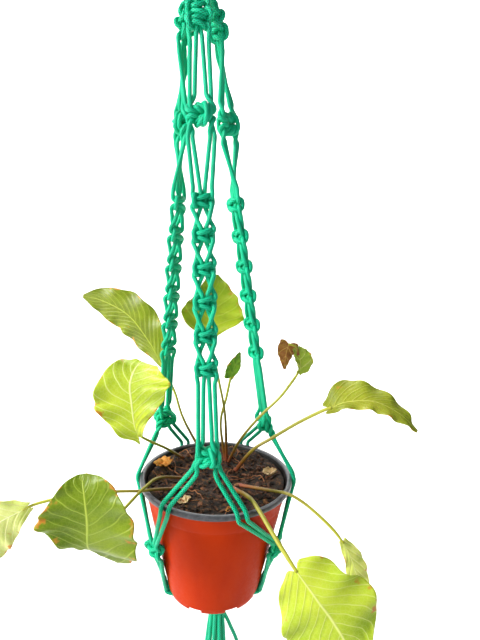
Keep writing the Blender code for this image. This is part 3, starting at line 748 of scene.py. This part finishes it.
for face in potBody.data.polygons:
    fromAxis = math.hypot(face.center.x - potX, face.center.y)
    height = face.center.z - rimZ
    outward = (face.normal.x * (face.center.x - potX) + face.normal.y * face.center.y) / max(fromAxis, 1e-6)
    if height > -0.0062 and fromAxis > topR - 0.0018 and (outward > -0.3 or height > -0.0012):
        face.material_index = 1
    elif height > -potH + foot + wall * 0.5 and (outward < -0.3 or face.normal.z > 0.7):
        face.material_index = 2
potBody.data.shade_smooth()
potBody.data.set_sharp_from_angle(angle=math.radians(38))
settle(potBody, "potted_plant", ["nursery_pot"])
print("pot turned")

mix = dict(drop=0.009, lumps=0.0022, rings=46, sides=150, chips=170, roots=22, crumbs=190,
           rise=0.0052, tilt=0.0032)


def makeMix(name, tones, scale, rough=0.95):
    # peat and bark fines: matt, near black where damp, rust brown where dry
    material, tree = newMaterial(name)
    place = node(tree, "TexCoord")
    grain = node(tree, "TexNoise", {"Vector": place.outputs["Object"], "Scale": scale, "Detail": 8.0,
                                    "Roughness": 0.7})
    tint = node(tree, "ValToRGB", {"Fac": grain}, ramp=tones)
    fine = noiseOf(tree, scale * 5, 5.0)
    bump = node(tree, "Bump", {"Height": fine, "Strength": 0.8, "Distance": 0.0012})
    finishShader(tree, {"Base Color": tint.outputs["Color"], "Roughness": rough,
                        "Normal": bump.outputs["Normal"]})
    return material


peat = makeMix("damp peat potting mix", [(0.38, "#0a0603"), (0.52, "#2c1a0c"), (0.62, "#5e3a1a"),
                                         (0.74, "#96662f")], 230.0)
bark = makeMix("composted pine bark", [(0.34, "#170b05"), (0.47, "#3e200f"), (0.58, "#70421e"),
                                       (0.70, "#b98244")], 95.0, 0.8)
dryRoot = makeMix("dry feeder roots", [(0.3, "#6a3c20"), (0.6, "#a8693a"), (0.8, "#d8a468")], 260.0, 0.7)
dryScrap = makeMix("dead leaf scraps", [(0.3, "#b06a1e"), (0.55, "#e0983a"), (0.8, "#f0bf74")], 240.0, 0.6)
soilR = wallRadius(-mix["drop"]) - wall - 0.0004
soilZ = rimZ - mix["drop"]
draw = random.Random(7)


def soilHeight(x, y):
    place = Vector((x, y, 0))
    lump = noise.noise(place * 55) * 0.55 + noise.noise(place * 130) * 0.30 + noise.noise(place * 340) * 0.22
    share = math.hypot(x, y) / soilR
    heap = mix["rise"] * share ** 2 + mix["tilt"] * (y / soilR)
    return mix["lumps"] * lump * 1.6 + heap - 0.0016 * max(0.0, share - 0.9) / 0.1


rings = [(soilR * (k + 1) / mix["rings"], soilZ) for k in range(mix["rings"])]
soilTop = turnedPiece("pottingMix", rings, mix["sides"], (potX, 0))
bpy.context.view_layer.objects.active = soilTop
bpy.ops.object.mode_set(mode="EDIT")
bpy.ops.mesh.extrude_edges_move(TRANSFORM_OT_translate={"value": (0, 0, -0.006)})
bpy.ops.transform.resize(value=(0.96, 0.96, 1), center_override=(potX, 0, soilZ))
bpy.ops.object.mode_set(mode="OBJECT")
closeAndOrient(soilTop)
for vertex in soilTop.data.vertices:
    if vertex.co.z > soilZ - 0.001:
        vertex.co.z += soilHeight(vertex.co.x - potX, vertex.co.y)
soilTop.data.shade_smooth()
dress(soilTop, peat)
settle(soilTop, "potted_plant", ["soil"])


def scatter(name, count, sizes, material, lift):
    bpy.ops.object.select_all(action="DESELECT")
    made = []
    for k in range(count):
        turn, share = draw.uniform(0, 2 * math.pi), math.sqrt(draw.uniform(0, 0.86))
        x, y = soilR * share * math.cos(turn), soilR * share * math.sin(turn)
        length, wide, thick = (draw.uniform(*s) for s in sizes)
        bpy.ops.mesh.primitive_cube_add(size=1.0)
        chip = bpy.context.active_object
        bpy.ops.object.mode_set(mode="EDIT")
        bpy.ops.mesh.subdivide(number_cuts=2)
        bpy.ops.object.mode_set(mode="OBJECT")
        seed = Vector((k * 3.1, k * 1.7, 0))
        for vertex in chip.data.vertices:
            p = vertex.co.copy()
            rough = noise.noise_vector(p * 2.1 + seed) * 0.22
            p = p + rough
            p.z += 0.25 * p.x * p.x
            vertex.co = Vector((p.x * length, p.y * wide * (1 - 0.5 * abs(p.x)), p.z * thick))
        chip.rotation_euler = (draw.uniform(-0.5, 0.5), draw.uniform(-0.45, 0.45), draw.uniform(0, 6.3))
        chip.location = (potX + x, y, soilZ + soilHeight(x, y) + lift * thick)
        made.append(chip)
    bpy.ops.object.select_all(action="DESELECT")
    for chip in made:
        chip.select_set(True)
    bpy.context.view_layer.objects.active = made[0]
    bpy.ops.object.join()
    pile = bpy.context.active_object
    bpy.ops.object.transform_apply(location=True, rotation=True, scale=True)
    pile.name = name
    pile.data.shade_smooth()
    pile.data.set_sharp_from_angle(angle=math.radians(45))
    dress(pile, material)
    settle(pile, "potted_plant")


scatter("barkChips", mix["chips"], ((0.003, 0.010), (0.0012, 0.0036), (0.0007, 0.0020)), bark, 0.3)
scatter("peatCrumbs", mix["crumbs"], ((0.0016, 0.0042), (0.0014, 0.0034), (0.001, 0.0024)), peat, 0.4)


# a few dead leaves lie on the mix, curled as they dried
def layScrap(name, x, y, long, wide, turned, material):
    bpy.ops.object.select_all(action="DESELECT")
    bpy.ops.mesh.primitive_grid_add(x_subdivisions=16, y_subdivisions=12, size=2)
    scrap = bpy.context.active_object
    scrap.name = name
    seed = Vector((x * 400, y * 300, 2))
    for vertex in scrap.data.vertices:
        u, v = vertex.co.x, vertex.co.y
        ragged = 1 + 0.45 * noise.noise(Vector((u * 1.6, v * 1.6, 0)) + seed)
        narrow = math.sqrt(max(0.03, 1 - 0.92 * u * u))
        curl = 0.32 * v * v + 0.22 * u * u + 0.25 * noise.noise(Vector((u * 2.3, v * 2.3, 3)) + seed)
        vertex.co = Vector((u * long / 2 * ragged, v * wide / 2 * narrow * ragged, curl * wide))
    scrap.rotation_euler = (0.25, -0.15, math.radians(turned))
    scrap.location = (potX + x, y, soilZ + soilHeight(x, y) + 0.0012)
    bpy.ops.object.transform_apply(location=True, rotation=True, scale=True)
    solid = scrap.modifiers.new("thickness", "SOLIDIFY")
    solid.thickness = 0.0005
    solid.offset = 0
    applyAll(scrap)
    scrap.data.shade_smooth()
    dress(scrap, material)
    settle(scrap, "potted_plant")


paleScrap = makeMix("bleached leaf scraps", [(0.3, "#a8824e"), (0.55, "#d2b384"), (0.8, "#efdcb8")],
                    240.0, 0.6)
layScrap("orangeScrap", -0.051, 0.020, 0.015, 0.011, 25, dryScrap)
layScrap("curledScrap", 0.051, 0.008, 0.012, 0.009, -20, paleScrap)
layScrap("brownScrap", -0.027, -0.036, 0.010, 0.007, 10, paleScrap)
layScrap("frontScrap", 0.010, -0.048, 0.007, 0.003, 65, dryScrap)


def thinTube(name, route, radii, sides=8):
    points = evenly([(*p, r) for p, r in zip(route, radii)], 0.0012)
    centre, radius = points[:, :3], points[:, 3]
    along = np.gradient(centre, axis=0)
    along /= np.linalg.norm(along, axis=1)[:, None] + 1e-12
    side = np.cross(along[0], [0.3, 1, 0.2])
    verts = []
    for k in range(len(centre)):
        side = side - along[k] * side.dot(along[k])
        side = side / np.linalg.norm(side)
        other = np.cross(along[k], side)
        for m in range(sides):
            turn = 2 * math.pi * m / sides
            verts.append(centre[k] + (side * math.cos(turn) + other * math.sin(turn)) * radius[k])
    faces = []
    for k in range(len(centre) - 1):
        for m in range(sides):
            n = (m + 1) % sides
            faces.append((k * sides + m, k * sides + n, (k + 1) * sides + n, (k + 1) * sides + m))
    faces.append(tuple(range(sides))[::-1])
    faces.append(tuple((len(centre) - 1) * sides + m for m in range(sides)))
    mesh = bpy.data.meshes.new(name)
    mesh.from_pydata([tuple(v) for v in verts], [], faces)
    layer = mesh.uv_layers.new(name="alongStalk")
    for face in mesh.polygons:
        for corner in face.loop_indices:
            index = mesh.loops[corner].vertex_index
            layer.data[corner].uv = ((index % sides) / sides, (index // sides) / (len(centre) - 1))
    mesh.shade_smooth()
    obj = bpy.data.objects.new(name, mesh)
    bpy.context.scene.collection.objects.link(obj)
    return obj


rootPieces = []
for k in range(mix["roots"]):
    turn, share = draw.uniform(0, 2 * math.pi), math.sqrt(draw.uniform(0, 0.75))
    x, y = soilR * share * math.cos(turn), soilR * share * math.sin(turn)
    heading = draw.uniform(0, 2 * math.pi)
    route, thick = [], draw.uniform(0.0002, 0.00045)
    steps = draw.randint(5, 11)
    for m in range(steps):
        lift = 0.0006 + 0.0022 * math.sin(math.pi * m / (steps - 1)) * draw.uniform(0.4, 1.3)
        sunk = 0.0015 if m in (0, steps - 1) else 0
        route.append((potX + x, y, soilZ + soilHeight(x, y) + lift - sunk))
        heading += draw.uniform(-0.55, 0.55)
        x, y = x + 0.0036 * math.cos(heading), y + 0.0036 * math.sin(heading)
        reach = math.hypot(x, y)
        if reach > soilR * 0.94:
            x, y = x * soilR * 0.94 / reach, y * soilR * 0.94 / reach
    rootPieces.append(thinTube(f"root_{k}", route, [thick] * steps, 6))
bpy.ops.object.select_all(action="DESELECT")
for piece in rootPieces:
    piece.select_set(True)
bpy.context.view_layer.objects.active = rootPieces[0]
bpy.ops.object.join()
roots = bpy.context.active_object
roots.name = "feederRoots"
dress(roots, dryRoot)
settle(roots, "potted_plant")
print("potting mix filled")

soilTopMm = -mix["drop"] * 1000 + 0.3
# routes in mm from the middle of the rim; a blade point adds its left and right half widths
# each leaf's tones are partly its own green and partly painted light: paler on leaves the light falls on or
# shines through, darker on leaves in shade
leafSet = {
    "long_upper_left_leaf": dict(
        stalk=[(-8, 33, soilTopMm), (-34, 48, 32), (-44, 55, 58), (-54, 60, 78)],
        blade=[(-61, 64, 90, 5, 4), (-74, 72, 109, 20, 14), (-96, 82, 133, 23, 19), (-124, 91, 146, 15, 15),
               (-146, 96, 150, 2, 2)], side=(-0.6, 0.1, -0.8), tones=("#626c0c", "#869014", "#b4ba42")),
    "curled_left_leaf": dict(
        stalk=[(-31, 43, soilTopMm), (-46, 5, 21), (-59, -16, 38)],
        blade=[(-68, -24, 47, 3, 3), (-71, -25, 56, 16, 10), (-74, -22, 75, 30, 28), (-76, -18, 90, 27, 35),
               (-73, -11, 102, 17, 32), (-68, -4, 107, 6, 18)], side=(1.0, 0.0, 0.1),
        tones=("#a3b528", "#cddb3a", "#f0f4a8"), lobes=(0.25, 0.1)),
    "broad_left_leaf": dict(
        stalk=[(-24, 5, soilTopMm), (-49, -20, 6), (-60, -42, 8.5), (-73, -58, 0), (-91, -68, -17)],
        blade=[(-97, -76, -25, 5, 31), (-97, -82, -16, 19, 38), (-96, -84, 4, 36, 35),
               (-98, -82, 22, 27, 25),
               (-101, -76, 33, 14, 14), (-102, -73, 37, 3, 3)], side=(1.0, 0.0, 0.0),
        tones=("#617806", "#82950a", "#b8c64e"), lobes=(-0.1, 0.55)),
    "far_left_leaf": dict(
        stalk=[(-22, -12, soilTopMm), (-49, -30, 0.5), (-64, -38, 3.2), (-81, -42, 5), (-111, -46, 5),
               (-143, -52, 0)],
        blade=[(-155, -56, -4, 4, 4), (-172, -58, -13, 20, 20), (-192, -60, -26, 26, 26),
               (-214, -62, -40, 4, 4)],
        side=(0.5, 0.0, -0.85), tones=("#b9c256", "#dde294", "#f2f2c4")),
    "curved_right_leaf": dict(
        stalk=[(18, 20, soilTopMm), (32, -8, 27), (49, -14, 42), (70, -20, 59), (89, -25, 72)],
        blade=[(97, -27, 76, 4, 8), (110, -29, 82, 6, 22), (132, -33, 84, 8, 15), (153, -37, 75, 7, 9),
               (168, -40, 61, 1.5, 1.5)], side=(0.1, 0.6, 0.75), stalkR=0.0016,
        tones=("#7c850e", "#9f9f2a", "#c8c85c")),
    "folded_right_leaf": dict(
        stalk=[(20, -5, soilTopMm), (46, -30, 0.5), (61, -43, 4.5), (74, -50, 0), (87, -58, -8),
               (97, -64, -16)],
        blade=[(104, -68, -24, 3, 4), (111, -71, -37, 6, 10), (117, -75, -56, 8, 10),
               (121, -78, -74, 2, 2)],
        side=(0.8, 0.3, 0.5), tones=("#a8b044", "#dcdf84", "#f0f0b8")),
    "low_right_leaf": dict(
        stalk=[(16, -12, soilTopMm), (27, -50, 5.5), (34, -65, 3.5), (44, -82, -6), (53, -95, -15)],
        blade=[(60, -104, -22, 8, 10), (63, -106, -25, 19, 20), (69, -109, -32, 26, 25),
               (76, -113, -40, 34, 29),
               (84, -115, -50, 37, 37), (93, -118, -63, 36, 32), (101, -120, -77, 27, 17),
               (114, -122, -102, 3, 3)],
        side=(0.85, 0.1, 0.5), stalkR=0.0017,
        tones=("#9fb624", "#c8d83c", "#e4ec90"), lobes=(0.12, 0.14)),
    "back_tall_leaf": dict(
        stalk=[(10, 36, soilTopMm), (7, 22, 47), (0, 18, 84), (-5, 18, 107)],
        blade=[(-10, 22, 130, 4, 4), (-10, 25, 142, 26, 30), (-8, 30, 160, 18, 24), (-8, 36, 182, 4, 5)],
        side=(1.0, 0.1, 0.0), tones=("#7e8c16", "#a6ae20", "#c4c650")),
    "back_small_leaf": dict(
        stalk=[(9.2, 36.8, soilTopMm), (3, 33, 35), (8, 35, 62), (11, 36, 79)],
        blade=[(12, 36, 82, 7, 2), (15, 37, 93, 7, 6), (20, 38, 107, 1, 1)],
        side=(1.0, 0.1, -0.2), tones=("#4c6a10", "#66861a", "#8ea23a")),
    "back_curled_leaf": dict(
        stalk=[(11.2, 36.8, soilTopMm), (21, 6, 30), (38, 0, 56), (55, -2, 75), (66, -4, 92)],
        blade=[(71, -5, 101, 2, 3), (72, -6, 107, 3, 11), (70, -7, 116, 5, 10), (67, -8, 124, 4, 3)],
        side=(1.0, 0.3, 0.0), tones=("#7f9424", "#a3b03a", "#d0cf7c")),
    "back_dried_leaf": dict(
        stalk=[(69, -7, 117), (67, -8, 124)],
        blade=[(60, -9, 127, 8, 9), (58, -11, 120, 8, 7), (57, -12, 112, 4, 4), (57, -12, 105, 1, 1)],
        side=(1.0, 0.1, 0.1), tones=("#6e3a14", "#9a5c22", "#d8a858")),
}
leafLook = dict(across=48, gap=0.0009, thick=0.00045, veinGap=8.5, scallops=6, scallop=0.022, ruffle=0.0024,
                cup=0.16, veinHeight=0.0007, stalkR=0.0013)


def makeBladeMaterial(name, tones, veins):
    # a living leaf: waxy and slightly see-through, paler raised veins, small rusty spots near the edge
    material, tree = newMaterial(f"live leaf blade, {name}")
    uv = node(tree, "UVMap", uv_map="bladeMap")
    parts = node(tree, "SeparateXYZ", {"Vector": uv})
    fromRib = maths(tree, "SUBTRACT", parts.outputs["X"], 0.5)
    fromRib = maths(tree, "ABSOLUTE", fromRib)
    place = node(tree, "TexCoord")
    sway = noiseOf(tree, 60.0)
    lean = maths(tree, "MULTIPLY_ADD", fromRib, -0.62, parts.outputs["Y"])
    lean = maths(tree, "MULTIPLY_ADD", sway, 0.05, lean)
    wave = maths(tree, "MULTIPLY", lean, float(veins))
    wave = maths(tree, "FRACT", wave)
    wave = maths(tree, "SUBTRACT", wave, 0.5)
    wave = maths(tree, "ABSOLUTE", wave)
    vein = node(tree, "MapRange", {"Value": wave, "From Min": 0.0, "From Max": 0.09,
                                   "To Min": 0.62, "To Max": 0.0},
                interpolation_type="SMOOTHSTEP")
    rib = node(tree, "MapRange", {"Value": fromRib, "From Min": 0.0, "From Max": 0.022,
                                  "To Min": 1.0, "To Max": 0.0}, interpolation_type="SMOOTHSTEP")
    net = node(tree, "TexVoronoi", {"Vector": place.outputs["Object"], "Scale": 330.0},
               feature="DISTANCE_TO_EDGE")
    mesh = node(tree, "MapRange", {"Value": net, "From Min": 0.0, "From Max": 0.12,
                                   "To Min": 0.14, "To Max": 0.0})
    lines = maths(tree, "MAXIMUM", vein, rib)
    lines = maths(tree, "MAXIMUM", lines, mesh)
    cloud = noiseOf(tree, 34.0, 3.0)
    # the ground tones are set leaf by leaf: partly the leaf's own green, partly painted light and painted
    # shade
    ground = node(tree, "ValToRGB", {"Fac": cloud}, ramp=[(0.32, tones[0]), (0.66, tones[1])])
    drawn = node(tree, "Mix", {0: lines, 6: ground, 7: colour(tones[2])},
                 data_type="RGBA")
    spots = noiseOf(tree, 130.0)
    edge = node(tree, "MapRange", {"Value": fromRib, "From Min": 0.30, "From Max": 0.5,
                                   "To Min": 0.0, "To Max": 0.20})
    rust = maths(tree, "ADD", spots, edge)
    rust = node(tree, "MapRange", {"Value": rust, "From Min": 0.74, "From Max": 0.84})
    tint = node(tree, "Mix", {0: rust, 6: drawn.outputs[2], 7: colour("#c8862c")},
                data_type="RGBA")
    bump = node(tree, "Bump", {"Height": lines, "Strength": 0.45, "Distance": 0.0006})
    finishShader(tree, {"Base Color": tint.outputs[2], "Roughness": 0.42, "Normal": bump.outputs["Normal"],
                        "Subsurface Weight": 0.25, "Subsurface Radius": (0.003, 0.004, 0.001),
                        "Subsurface Scale": 0.5, "Specular IOR Level": 0.4})
    return material


def makeStalkMaterial():
    # a living stalk: rosy brown where it leaves the soil, yellow green towards the blade
    material, tree = newMaterial("live leaf stalk")
    uv = node(tree, "UVMap", uv_map="alongStalk")
    parts = node(tree, "SeparateXYZ", {"Vector": uv})
    cloud = noiseOf(tree, 120.0, 3.0)
    share = maths(tree, "MULTIPLY_ADD", cloud, 0.25, parts.outputs["Y"])
    tint = node(tree, "ValToRGB", {"Fac": share},
                ramp=[(0.10, "#96483a"), (0.26, "#84501e"), (0.50, "#8a7a24"), (0.95, "#b4b434")])
    bump = node(tree, "Bump", {"Height": cloud, "Strength": 0.4, "Distance": 0.0004})
    finishShader(tree, {"Base Color": tint.outputs["Color"], "Roughness": 0.45,
                        "Normal": bump.outputs["Normal"],
                        "Subsurface Weight": 0.15, "Subsurface Radius": (0.002, 0.002, 0.001)})
    return material


stalkGreen = makeStalkMaterial()
rimCentre = np.array([potX, 0, rimZ])


def growLeaf(name, stalk, blade, side, tones, stalkR=leafLook["stalkR"], lobes=(0.3, 0.3), replaced=()):
    bladePath = np.array(blade, float) / 1000
    stalkPath = np.array(stalk, float) / 1000
    join = bladePath[0, :3]
    stalkRoute = [p + rimCentre for p in stalkPath] + [join + rimCentre]
    radii = [stalkR * 1.25] + [stalkR] * (len(stalkPath) - 1) + [stalkR * 0.75]
    stem = thinTube(f"{name}_stalk", stalkRoute, radii)
    dress(stem, stalkGreen)
    settle(stem, "potted_plant")
    rows = evenly(bladePath, leafLook["gap"])
    rows[:, 3:] = np.maximum(rows[:, 3:], 0.0006)
    count, across = len(rows), leafLook["across"]
    size = np.linalg.norm(np.diff(rows[:, :3], axis=0), axis=1).sum()
    veins = max(3, round(size * 1000 / leafLook["veinGap"]))
    bpy.ops.object.select_all(action="DESELECT")
    bpy.ops.mesh.primitive_grid_add(x_subdivisions=across, y_subdivisions=count - 1, size=2)
    leaf = bpy.context.active_object
    leaf.name = f"{name}_blade"
    along = np.gradient(rows[:, :3], axis=0)
    along /= np.linalg.norm(along, axis=1)[:, None]
    widest = rows[:, 3:].max()
    wavy = min(1.0, widest / 0.02)
    seed = sum(ord(letter) for letter in name) % 37
    spots = {}
    for vertex in leaf.data.vertices:
        u, v = vertex.co.x, (vertex.co.y + 1) / 2
        k = min(count - 1, round(v * (count - 1)))
        spots[vertex.index] = ((u + 1) / 2, v)
        t = along[k]
        s = np.array(side, float)
        s = s - t * s.dot(t)
        s /= np.linalg.norm(s)
        up = np.cross(s, t)
        half = rows[k, 4] if u > 0 else rows[k, 3]
        taper = min(1, v * 12) * min(1, (1 - v) * 8)
        notch = math.sin(v * 2 * math.pi * leafLook["scallops"] + seed)
        half = half * (1 + leafLook["scallop"] * notch * taper)
        lean = v - abs(u) * 0.31
        ridge = max(0.0, 1 - abs((lean * veins) % 1 - 0.5) / 0.16)
        ruffle = math.sin(v * 2 * math.pi * 4.2 + seed + (1.3 if u > 0 else 0))
        ruffle = ruffle * leafLook["ruffle"] * wavy * abs(u) ** 2
        raised = ridge * leafLook["veinHeight"] * abs(u) ** 0.3 * (1 - abs(u) ** 4)
        lift = leafLook["cup"] * half * abs(u) ** 1.6 + ruffle * taper + raised
        lobe = lobes[1 if u > 0 else 0] * widest * math.sin(abs(u) * 2.4) * max(0.0, 1 - v * 3.2) ** 2
        p = rimCentre + rows[k, :3] + s * u * half + up * lift - t * lobe
        vertex.co = Vector(p)
    layer = leaf.data.uv_layers.new(name="bladeMap")
    for face in leaf.data.polygons:
        for corner in face.loop_indices:
            layer.data[corner].uv = spots[leaf.data.loops[corner].vertex_index]
    while len(leaf.data.uv_layers) > 1:
        leaf.data.uv_layers.remove(leaf.data.uv_layers[0])
    leaf.data.uv_layers[0].name = "bladeMap"
    solid = leaf.modifiers.new("thickness", "SOLIDIFY")
    solid.thickness = leafLook["thick"]
    solid.offset = 0
    applyAll(leaf)
    leaf.data.shade_smooth()
    dress(leaf, makeBladeMaterial(name, tones, veins))
    settle(leaf, "potted_plant", replaced)


for name, shape in leafSet.items():
    if name == "back_tall_leaf":
        growLeaf(name, replaced=["back_leaves"], **shape)
    elif name.startswith("back"):
        growLeaf(name, **shape)
    else:
        growLeaf(name, replaced=[name], **shape)
print("plant grown")

stageSet = dict(floor="#f2f1ee", floorDrop=0.42, size=6.0)
bpy.ops.mesh.primitive_plane_add(size=stageSet["size"], location=(0, 0, rimZ - stageSet["floorDrop"]))
floor = bpy.context.active_object
floor.name = "paleFloor"
bpy.ops.object.mode_set(mode="EDIT")
bpy.ops.mesh.select_mode(type="EDGE")
bpy.ops.mesh.select_all(action="DESELECT")
bpy.ops.object.mode_set(mode="OBJECT")
for edge in floor.data.edges:
    edge.select = all(floor.data.vertices[v].co.y > 0 for v in edge.vertices)
bpy.ops.object.mode_set(mode="EDIT")
bpy.ops.mesh.extrude_region_move(TRANSFORM_OT_translate={"value": (0, 0, 4)})
bpy.ops.object.mode_set(mode="OBJECT")
material, tree = newMaterial("matt painted backdrop")
finishShader(tree, {"Base Color": colour(stageSet["floor"]), "Roughness": 0.9})
dress(floor, material)


def softLight(name, place, aim, size, power, tint="#ffffff"):
    lamp = bpy.data.objects.new(name, bpy.data.lights.new(name, "AREA"))
    bpy.context.scene.collection.objects.link(lamp)
    lamp.data.size = size
    lamp.data.energy = power
    lamp.data.color = colour(tint)[:3]
    lamp.location = place
    lamp.rotation_euler = (Vector(aim) - Vector(place)).to_track_quat("-Z", "Y").to_euler()


softLight("keyLight", (-1.75, -0.7, 0.65), (0, 0, -0.4), 0.7, 72)
softLight("frontLight", (0.2, -1.6, 0.1), (0, 0, -0.4), 1.2, 3)
softLight("backdropLight", (0.0, 1.2, 1.4), (0, 2.9, -0.2), 2.0, 150)
world = bpy.data.worlds.new("paleRoom")
bpy.context.scene.world = world
world.use_nodes = True
world.node_tree.nodes["Background"].inputs["Color"].default_value = colour("#fafbff")
world.node_tree.nodes["Background"].inputs["Strength"].default_value = 0.20
bpy.context.scene.view_settings.view_transform = "Standard"
